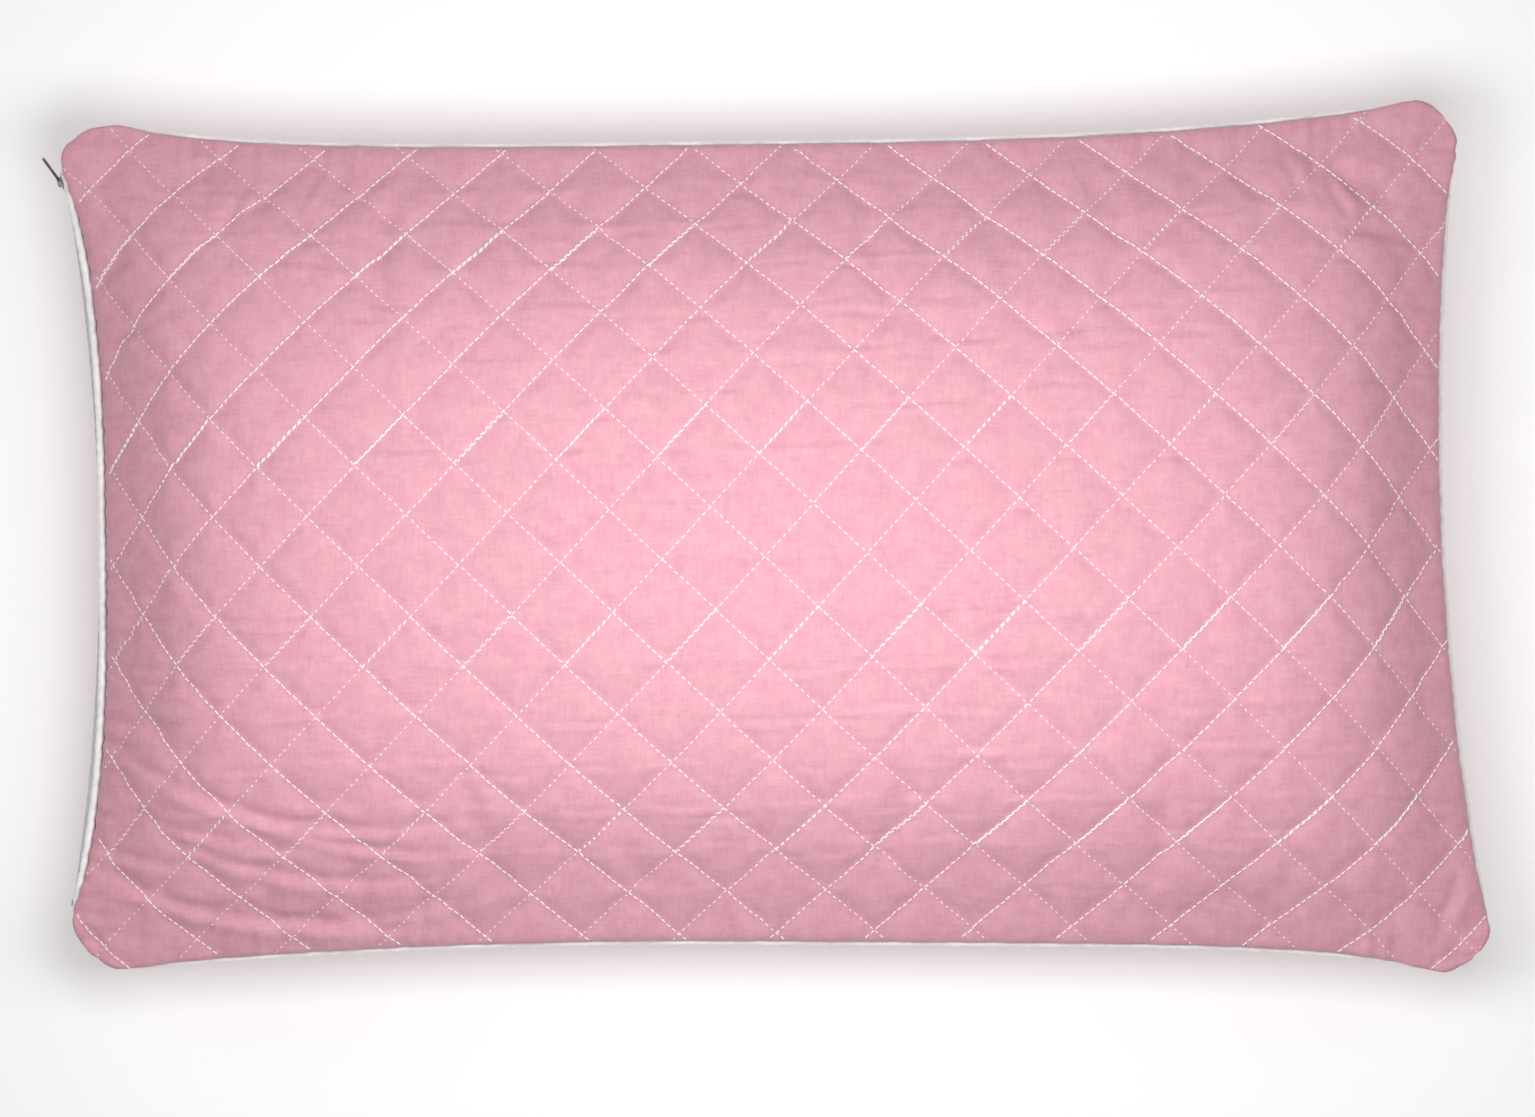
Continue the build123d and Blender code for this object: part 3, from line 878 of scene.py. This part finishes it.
layers = {
    "inset": 12.0,  # the inner layers stop this far from the seam
    "fillInset": 16.0,
    "wadding": (3.1, 5.2),  # depth below the cloth: outer and inner face
    "backing": (5.5, 5.9),
    "casing": (6.4, 6.8),
    "filling": 7.4,
    "step": 4,
    "waddingRipple": 0.2,
    "rippleCells": (40, 24),
}


def insetPart(sheet, inset):
    rows = (np.abs(sheet["v"][:, 0]) <= 1 - inset / halfWidth).nonzero()[0]
    columns = (np.abs(sheet["u"][0]) <= 1 - inset / halfLength).nonzero()[0]
    rows = slice(rows[0], rows[-1] + 1, layers["step"])
    columns = slice(columns[0], columns[-1] + 1, layers["step"])
    return rows, columns


def layerPiece(name, sheet, side, depths, node, material, wavy=0.0):
    rows, columns = insetPart(sheet, layers["inset"])
    top = lowered(sheet, depths[0])[rows, columns]
    bottom = lowered(sheet, depths[1])[rows, columns]
    if wavy:
        ripple = smoothNoise(len(name), top.shape[1] - 1, top.shape[0] - 1, layers["rippleCells"])[..., None]
        bottom = bottom + sheet["normal"][rows, columns] * ripple * wavy
    piece = closedSheet(name, top, bottom, 1, side)
    return finishPiece(piece, material, replaced=(node,))


for panelName, sheet, side, caseName in (
    ("face", faceSheet, 1, "inner_case_top"), ("back", backSheet, -1, "inner_case_bottom"),
):
    padding = layerPiece(panelName + "_wadding", sheet, side, layers["wadding"],
                         panelName + "_panel_wadding", waddingFibre,
                         wavy=layers["waddingRipple"])
    lining = layerPiece(panelName + "_backing", sheet, side, layers["backing"],
                        panelName + "_panel_backing", spunbond)
    case = layerPiece(caseName.replace("inner_case", "case"), sheet, side, layers["casing"],
                      caseName, casing)

rows, columns = insetPart(faceSheet, layers["fillInset"])
fillTop = lowered(faceSheet, layers["filling"])[rows, columns]
fillBottom = lowered(backSheet, layers["filling"])[rows, columns]
fillPiece = closedSheet("filling", fillTop, fillBottom, 1, 1)
finishPiece(fillPiece, fibre, replaced=("fibre_fill",))
print("inner layers made")

def sampled(field, u, v):
    rows, columns = field.shape[:2]
    x = np.clip((u + 1) / 2, 0, 1) * (columns - 1)
    y = np.clip((v + 1) / 2, 0, 1) * (rows - 1)
    left, low = np.minimum(x.astype(int), columns - 2), np.minimum(y.astype(int), rows - 2)
    x, y = x - left, y - low
    if field.ndim == 3:
        x, y = x[..., None], y[..., None]
    lower = field[low, left] * (1 - x) + field[low, left + 1] * x
    upper = field[low + 1, left] * (1 - x) + field[low + 1, left + 1] * x
    return lower * (1 - y) + upper * y


def clothToGrid(sheet, s, t):
    # u, v of a place in flat cloth coordinates
    u, v = s / sheet["s"].max(), t / sheet["t"].max()
    for _ in range(14):
        u = np.clip(u + (s - sampled(sheet["s"], u, v)) / halfLength, -1.2, 1.2)
        v = np.clip(v + (t - sampled(sheet["t"], u, v)) / halfWidth, -1.2, 1.2)
    return u, v


def stitchMesh(name, centres, normals, ways, radii, sides=5):
    # One small closed body per stitch, from its rings' centres: arrays are stitch, ring, 3
    count, rings = centres.shape[:2]
    across = np.cross(ways, normals)
    across /= np.linalg.norm(across, axis=-1, keepdims=True)
    angles = np.linspace(0, 2 * math.pi, sides, endpoint=False)
    sideways = np.cos(angles)[None, None, :, None] * across[:, :, None]
    turned = sideways + np.sin(angles)[None, None, :, None] * normals[:, :, None]
    points = centres[:, :, None] + turned * np.broadcast_to(radii, (count, rings))[:, :, None, None]
    index = np.arange(count * rings * sides).reshape(count, rings, sides)
    nextSide = np.roll(index, -1, axis=2)
    walls = np.stack([index[:, :-1], nextSide[:, :-1], nextSide[:, 1:], index[:, 1:]], axis=-1).reshape(-1, 4)
    faces = walls.tolist() + index[:, 0, ::-1].tolist() + index[:, -1].tolist()
    return makeMesh(name, points.reshape(-1, 3) + middle, faces)


def quiltStitches(name, sheet, seed):
    # Lines of dashes, long where a line runs round a corner and sunk to dots where it runs down into one
    rng = np.random.default_rng(seed)
    diagonal = math.hypot(quilting["lengthStep"][0], quilting["widthStep"][1])
    lines, reach, jogSize = quilting["lines"], quilting["lineReach"], quilting["jog"]
    rows = []
    for falls in (1, -1):
        for line in range(-lines, lines + 1):
            for second in (0, 1):
                start = rng.uniform(0, quilting["unevenStart"])
                run = np.arange(-reach, reach, quilting["pitch"] / diagonal) + start
                i, j = line + run, falls * (line - run)
                doubled = (np.floor(j) % quilting["doubledRows"]) == 1
                keep = doubled & (falls < 0) if second else np.ones_like(doubled)
                step = np.clip(np.floor(run) + reach, 0, 2 * reach + 1).astype(int)
                jog = rng.uniform(-jogSize, jogSize, 2 * reach + 2)[step]
                aside = jog + np.where(doubled & (falls < 0), (second - 0.5) * quilting["doubleGap"], 0.0)
                row = np.stack([i, j, np.full_like(i, falls), doubled, aside], axis=-1)
                rows.append(row[keep.astype(bool)])
    i, j, falls, doubled, aside = np.concatenate(rows).T
    places = quiltToCloth(i, j)
    around = np.clip(0.5 + falls * places[0] * places[1] / quilting["cornerArea"], 0, 1)
    half = quilting["dash"] * (quilting["dashShare"][0] + quilting["dashShare"][1] * around)
    half = np.where((doubled > 0) & (falls > 0), np.maximum(half, quilting["shortestDoubled"]), half)
    half = half * rng.uniform(*quilting["lengthChange"], len(i))
    thick = quilting["threadRadius"] * (quilting["threadShare"][0] + quilting["threadShare"][1] * around)
    aside = aside + rng.normal(0, quilting["aside"], len(i))
    ringRun = half[:, None] / diagonal * np.array(quilting["ringPlaces"])
    leanAside = (aside / diagonal / math.sqrt(2))[:, None]
    ringI = i[:, None] + ringRun + leanAside
    ringJ = j[:, None] - falls[:, None] * (ringRun - leanAside)
    s, t = quiltToCloth(ringI, ringJ)
    outside = quilting["outside"]
    inside = (np.abs(s) < halfLength + outside).all(axis=1) & (np.abs(t) < halfWidth + outside).all(axis=1)
    s, t, thick = s[inside], t[inside], thick[inside]
    u, v = clothToGrid(sheet, s, t)
    margin = quilting["edgeMargin"]
    fits = ((np.abs(u) < 1 - margin / halfLength) & (np.abs(v) < 1 - margin / halfWidth)).all(axis=1)
    u, v, thick = u[fits], v[fits], thick[fits]
    places = sampled(sheet["outer"], u, v)
    normals = sampled(sheet["normal"], u, v)
    ways = np.gradient(places, axis=1)
    ways /= np.linalg.norm(ways, axis=-1, keepdims=True)
    places = places + normals * np.array(quilting["ringLift"])[None, :, None]
    radii = thick[:, None] * np.array(quilting["ringRadii"])
    piece = stitchMesh(name, places, normals, ways, radii)
    print(name, len(places), "stitches")
    return finishPiece(piece, thread)


quiltStitches("face_quilting_thread", faceSheet, 5)
quiltStitches("back_quilting_thread", backSheet, 7)

piping = {
    "radius": 2.0,
    "wall": 0.5,
    "offset": 2.2,  # seam line to the middle of the piping
    "flange": 7.0,
    "flangeThickness": 0.4,
    "step": 1.6,
    "smoothing": 6,  # rounds of evening out along the seam
    "pucker": 0.09,
    "puckerWave": 6.0,
    "waver": 0.3,
    "waverTurns": (61, 37),  # waves in one round of the pillow
    "coverSides": (14, 10),  # outer and inner face
    "cordSides": 8,
    "cordGap": 0.12,
}


def evenRing(points, step):
    closed = np.concatenate([points, points[:1]])
    run = np.concatenate([[0], np.cumsum(np.linalg.norm(np.diff(closed, axis=0), axis=1))])
    places = np.linspace(0, run[-1], int(run[-1] / step), endpoint=False)
    return np.stack([np.interp(places, run, closed[:, i]) for i in range(2)], axis=-1), places, run[-1]


def seamRing():
    sheet = faceSheet["base"]
    ring = ringOf(*sheet.shape[:2])
    points, places, total = evenRing(sheet.reshape(-1, 3)[ring][:, :2], piping["step"])
    for _ in range(piping["smoothing"]):
        points = (np.roll(points, 1, axis=0) + 2 * points + np.roll(points, -1, axis=0)) / 4
    way = np.roll(points, -1, axis=0) - np.roll(points, 1, axis=0)
    way /= np.linalg.norm(way, axis=1, keepdims=True)
    outward = np.stack([way[:, 1], -way[:, 0]], axis=-1)
    return points, outward, places, total


seamPoints, seamOutward, seamPlaces, seamTotal = seamRing()


def tubeFaces(rings, sides, first=0, flip=False):
    index = first + np.arange(rings * sides).reshape(rings, sides)
    along = np.roll(index, -1, axis=0)
    quadCorners = [index, along, np.roll(along, -1, axis=1), np.roll(index, -1, axis=1)]
    quads = np.stack(quadCorners, axis=-1).reshape(-1, 4)
    return quads[:, ::-1] if flip else quads


def pipingTube(radius, sides, pucker=0.0):
    angles = np.linspace(0, 2 * math.pi, sides, endpoint=False)
    waves = round(seamTotal / piping["puckerWave"])
    turns = seamPlaces / seamTotal * 2 * math.pi
    slow = 0.6 * np.sin((waves // 2 + 7) * turns[:, None] - angles[None])
    bias = np.sin(waves * turns[:, None] + angles[None]) + slow
    size = radius * (1 + pucker * bias)
    quickTurns, slowTurns = piping["waverTurns"]
    waver = piping["waver"] * (np.sin(quickTurns * turns) + 0.6 * np.sin(slowTurns * turns + 1))
    centre = seamPoints + seamOutward * piping["offset"]
    out = centre[:, None] + seamOutward[:, None] * (np.cos(angles)[None] * size)[..., None]
    high = waver[:, None] + np.sin(angles)[None] * size
    return np.concatenate([out, high[..., None]], axis=-1).reshape(-1, 3)


def makePiping():
    sides, innerSides = piping["coverSides"]
    rings = len(seamPoints)
    outer = pipingTube(piping["radius"], sides, piping["pucker"])
    inner = pipingTube(piping["radius"] - piping["wall"], innerSides)
    half = piping["flangeThickness"] / 2
    root = piping["offset"] - piping["radius"] + piping["wall"] / 2
    profile = ((root, -half), (root, half), (-piping["flange"], half), (-piping["flange"], -half))
    strip = np.stack([
        np.concatenate([seamPoints + seamOutward * out, np.full((rings, 1), high)], axis=-1)
        for out, high in profile
    ], axis=1).reshape(-1, 3)
    faces = np.concatenate([
        tubeFaces(rings, sides), tubeFaces(rings, innerSides, len(outer), flip=True),
        tubeFaces(rings, 4, len(outer) + len(inner)),
    ])
    cover = makeMesh("piping_cover_satin", np.concatenate([outer, inner, strip]) + middle, faces)
    finishPiece(cover, satin, replaced=("piping_cover",))
    cordSides = piping["cordSides"]
    cord = pipingTube(piping["radius"] - piping["wall"] - piping["cordGap"], cordSides)
    core = makeMesh("piping_filler_cord", cord + middle, tubeFaces(rings, cordSides))
    finishPiece(core, cotton, replaced=("piping_cord",))


makePiping()
print("piping made")

zipParts = {
    "coilPitch": 1.5,
    "wire": 0.3,
    "coilRadii": (0.4, 0.58),  # out from the tape, and up
    "coilMiddle": (-0.72, 1.22),
    "pointsPerTurn": 10,
    "wireSides": 6,
    "tapeThickness": 0.4,
    "web": 3.4,
    "flangeRise": 7.6,
    "slope": 4.4,
    "reach": 9.0,
    "tail": 9.0,
    "tuck": 5.5,  # how far the tails turn in behind the back's edge
    "tapeStep": 2.0,
    "waver": 0.12,
    "waverWaves": (5.3, 17.0),
    "stitchPitch": 2.4,
    "stitchEnd": 1.5,  # from the stops to the first and last stitch
    # The coil's sewing: in from the tape's face, up from the coil, and each stitch's four rings
    "sewing": (-0.05, 2.55),
    "ringPlaces": (-0.8, -0.5, 0.5, 0.8),
    "ringDepths": (0.15, -0.08, -0.08, 0.15),
    "sewingRadius": 0.14,
}
zipCentre = np.array(zipJoint["pos_m"]) / mm
coilVertices = frame["nodes"]["zip_coil_upper"].data.vertices
coilPoints = np.array([vertex.co[:] for vertex in coilVertices]) / mm - zipCentre
coilAngles = np.arctan2(coilPoints[:, 1], coilPoints[:, 0])
coilLevel = pullJoint["pos_m"][2] / mm
# The zip turns about a point far to the side, so its inward way is away from that point
zipRadius = np.hypot(coilPoints[:, 0], coilPoints[:, 1]).max()
zipStart, zipEnd = coilAngles.min(), coilAngles.max()
zipLength = (zipEnd - zipStart) * zipRadius


def onZip(inward, distance, up):
    # A place from how far in it is from the tape's face, along from the first stop, and up from the coil
    angle = zipStart + distance / zipRadius
    radius = zipRadius + inward
    x, y = zipCentre[0] + radius * np.cos(angle), zipCentre[1] + radius * np.sin(angle)
    return np.stack(np.broadcast_arrays(x, y, coilLevel + up), axis=-1)


def makeCoil(name, side, node):
    turns = int(zipLength / zipParts["coilPitch"])
    steps = turns * zipParts["pointsPerTurn"]
    phase = np.linspace(0, 2 * math.pi * turns, steps + 1) + (math.pi if side < 0 else 0)
    distance = np.linspace(zipParts["wire"], zipLength - zipParts["wire"], steps + 1)
    outRadius, upRadius = zipParts["coilRadii"]
    middleIn, middleUp = zipParts["coilMiddle"]
    inward = middleIn + outRadius * np.cos(phase)
    up = side * (middleUp + upRadius * np.sin(phase))
    path = onZip(inward, distance, up)
    way = np.gradient(path, axis=0)
    way /= np.linalg.norm(way, axis=1, keepdims=True)
    hub = onZip(np.full_like(phase, middleIn), distance, np.full_like(phase, side * middleUp))
    outward = path - hub
    outward -= way * (outward * way).sum(axis=1, keepdims=True)
    outward /= np.linalg.norm(outward, axis=1, keepdims=True)
    across = np.cross(way, outward)
    sides = zipParts["wireSides"]
    angles = np.linspace(0, 2 * math.pi, sides, endpoint=False)
    rings = path[:, None] + zipParts["wire"] * (
        np.cos(angles)[None, :, None] * outward[:, None] + np.sin(angles)[None, :, None] * across[:, None])
    index = np.arange(len(path) * sides).reshape(-1, sides)
    turned = np.roll(index, -1, axis=1)
    walls = np.stack([index[:-1], index[1:], turned[1:], turned[:-1]], axis=-1).reshape(-1, 4)[:, ::-1]
    faces = walls.tolist() + [index[0, ::-1].tolist(), index[-1].tolist()]
    piece = makeMesh(name, rings.reshape(-1, 3), faces)
    return finishPiece(piece, coilNylon, replaced=(node,))


def makeTape(name, side, node):
    # Woven tape: upright beside the coil, then sloping back under the seam to its sewn edge
    thick = zipParts["tapeThickness"]
    rise, web, slope, reach = (zipParts[key] for key in ("flangeRise", "web", "slope", "reach"))
    outer = [
        (0, 0.5), (0, 1.4), (0, 2.4), (0.05, web), (0.9, web + 0.95), (slope / 2, (web + rise) / 2),
        (slope - 0.8, rise - 0.9), (slope + 0.2, rise - 0.1), (slope + 1.5, rise), (reach, rise),
    ]
    inner = [
        (reach, rise - thick), (slope + 1.6, rise - thick), (slope + 0.5, rise - thick - 0.15),
        (slope - 0.5, rise - 1.25), (slope / 2 + 0.3, (web + rise) / 2 - 0.3), (1.2, web + 0.6),
        (thick + 0.05, web - 0.2), (thick, 2.4), (thick, 1.4), (thick, 0.5),
    ]
    profile = np.array(outer + inner)
    distance = np.arange(-zipParts["tail"], zipLength + zipParts["tail"] + 0.1, zipParts["tapeStep"])
    quickWave, slowWave = zipParts["waverWaves"]
    wave = zipParts["waver"] * np.sin(distance / quickWave) * np.sin(distance / slowWave + side)
    bend = np.clip((profile[:, 1] - web) / (rise - web), 0, 1) * np.clip((rise - profile[:, 1]) / 1.0, 0, 1)
    past = np.maximum(-distance, distance - zipLength) / zipParts["tail"]
    inward = profile[:, 0][None] + wave[:, None] * bend[None] + zipParts["tuck"] * smoothStep(past)[:, None]
    up = side * np.broadcast_to(profile[:, 1][None], inward.shape)
    rings = onZip(inward, distance[:, None], up)
    sides = len(profile)
    index = np.arange(len(distance) * sides).reshape(-1, sides)
    turned = np.roll(index, -1, axis=1)
    walls = np.stack([index[:-1], index[1:], turned[1:], turned[:-1]], axis=-1).reshape(-1, 4)
    walls = walls if side > 0 else walls[:, ::-1]
    ends = [index[0].tolist(), index[-1, ::-1].tolist()]
    faces = walls.tolist() + (ends if side > 0 else [end[::-1] for end in ends])
    piece = makeMesh(name, rings.reshape(-1, 3), faces)
    finishPiece(piece, tapeCloth, replaced=(node,))
    return piece


def zipStitches():
    # The row of sewing that holds each coil to its tape
    inward, up = zipParts["sewing"]
    run = np.arange(zipParts["stitchEnd"], zipLength - zipParts["stitchEnd"], zipParts["stitchPitch"])
    distance = run[:, None] + np.array(zipParts["ringPlaces"])
    depth = np.array(zipParts["ringDepths"])[None]
    centres, normals, ways = [], [], []
    for side in (1, -1):
        height = np.full_like(distance, side * up)
        places = onZip(inward + depth, distance, height)
        centres.append(places)
        ways.append(np.gradient(places, axis=1))
        normals.append(places - onZip(inward + 1.0 + depth, distance, height))
    normals, ways = (
        directions / np.linalg.norm(directions, axis=-1, keepdims=True)
        for directions in (np.concatenate(normals), np.concatenate(ways))
    )
    radii = zipParts["sewingRadius"] * np.array(quilting["ringRadii"])
    piece = stitchMesh("zip_sewing_thread", np.concatenate(centres) - middle, normals, ways, radii)
    return finishPiece(piece, thread)


makeCoil("upper_coil", 1, "zip_coil_upper")
makeCoil("lower_coil", -1, "zip_coil_lower")
makeTape("upper_tape", 1, "zip_tape_upper")
makeTape("lower_tape", -1, "zip_tape_lower")
zipStitches()


def softenMetal(node, width):
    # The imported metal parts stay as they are, with zinc on them and their edges eased
    piece = frame["nodes"][node]
    piece.data.materials.clear()
    piece.data.materials.append(zinc)
    bevel = piece.modifiers.new("softEdges", "BEVEL")
    bevel.width = width * mm
    bevel.segments = 3
    bevel.limit_method = "ANGLE"
    bevel.angle_limit = math.radians(40)


for node, width in (
    ("zip_slider_body", 0.2), ("zip_pull_tab", 0.22), ("zip_top_stops", 0.15), ("zip_bottom_stop", 0.15),
):
    softenMetal(node, width)
print("zip made")

studio = {
    "floorColour": "#E2E2E2",
    "floorPaintedGlow": 0.42,  # painted light: the floor glows like a light table, lifting the shadow round the pillow
    "floorHalf": 3500.0,
    "floorDrop": 0.2,  # below the pillow, so that the two never share a surface
    "worldColour": "#FFFFFF",
    "worldStrength": 0.31,
    # Two soft lamps straight overhead and two far off to the sides: (place, target, size, power)
    "lamps": {
        "keyLight": ((-85.0, -30.0, 700.0), (-85.0, -30.0, 0.0), 300.0, 2.6),
        "secondLight": ((225.0, -30.0, 700.0), (225.0, -30.0, 0.0), 280.0, 1.42),
        "sideLight": ((-1500.0, 900.0, 1000.0), (0.0, 0.0, 60.0), 1000.0, 4.0),
        "farLight": ((1500.0, 1000.0, 1400.0), (0.0, 0.0, 60.0), 1000.0, 3.0),
    },
    "cameraHeight": 2200.0,  # above the seam
    "cameraAim": (0.1, -11.1),
    "lens": 103.0,
    "sensor": 36.0,
    "clipEnd": 50.0,  # metres
}


def makeFloor():
    half = studio["floorHalf"]
    square = [(-half, -half, 0), (half, -half, 0), (half, half, 0), (-half, half, 0)]
    floor = makeMesh("studioFloor", square, [(0, 1, 2, 3)], smooth=False)
    # Matt pale paint, with painted light: the floor glows a little
    material, tree = newMaterial("paintedStudioFloor")
    colour = linearColour(studio["floorColour"])
    shader = addNode(tree, "ShaderNodeBsdfPrincipled", {
        "Base Color": colour, "Roughness": 0.9, "Specular IOR Level": 0.2,
        "Emission Color": colour, "Emission Strength": studio["floorPaintedGlow"],
    })
    closeMaterial(tree, shader)
    floor.data.materials.append(material)
    floor.location.z = -studio["floorDrop"] * mm


def makeLight(name, place, target, size, power):
    lamp = bpy.data.lights.new(name, "AREA")
    lamp.size = size * mm
    lamp.energy = power
    piece = bpy.data.objects.new(name, lamp)
    piece.location = [c * mm for c in place]
    way = np.array(target) - np.array(place)
    tilt = math.atan2(math.hypot(way[0], way[1]), -way[2])
    piece.rotation_euler = (tilt, 0, math.atan2(-way[0], way[1]))
    piece.visible_camera = False
    bpy.context.scene.collection.objects.link(piece)


def makeStudio():
    makeFloor()
    scene = bpy.context.scene
    scene.world = bpy.data.worlds.new("studioAir")
    scene.world.use_nodes = True
    background = scene.world.node_tree.nodes["Background"]
    background.inputs["Color"].default_value = linearColour(studio["worldColour"])
    background.inputs["Strength"].default_value = studio["worldStrength"]
    for name, settings in studio["lamps"].items():
        makeLight(name, *settings)
    camera = bpy.data.cameras.new("studioCamera")
    camera.lens = studio["lens"]
    camera.sensor_width = studio["sensor"]
    camera.clip_end = studio["clipEnd"]
    eye = bpy.data.objects.new("studioCamera", camera)
    aimX, aimY = studio["cameraAim"]
    eye.location = (aimX * mm, aimY * mm, (seamLevel + studio["cameraHeight"]) * mm)
    scene.collection.objects.link(eye)
    scene.camera = eye
    scene.view_settings.view_transform = "Standard"


makeStudio()
print("studio set")
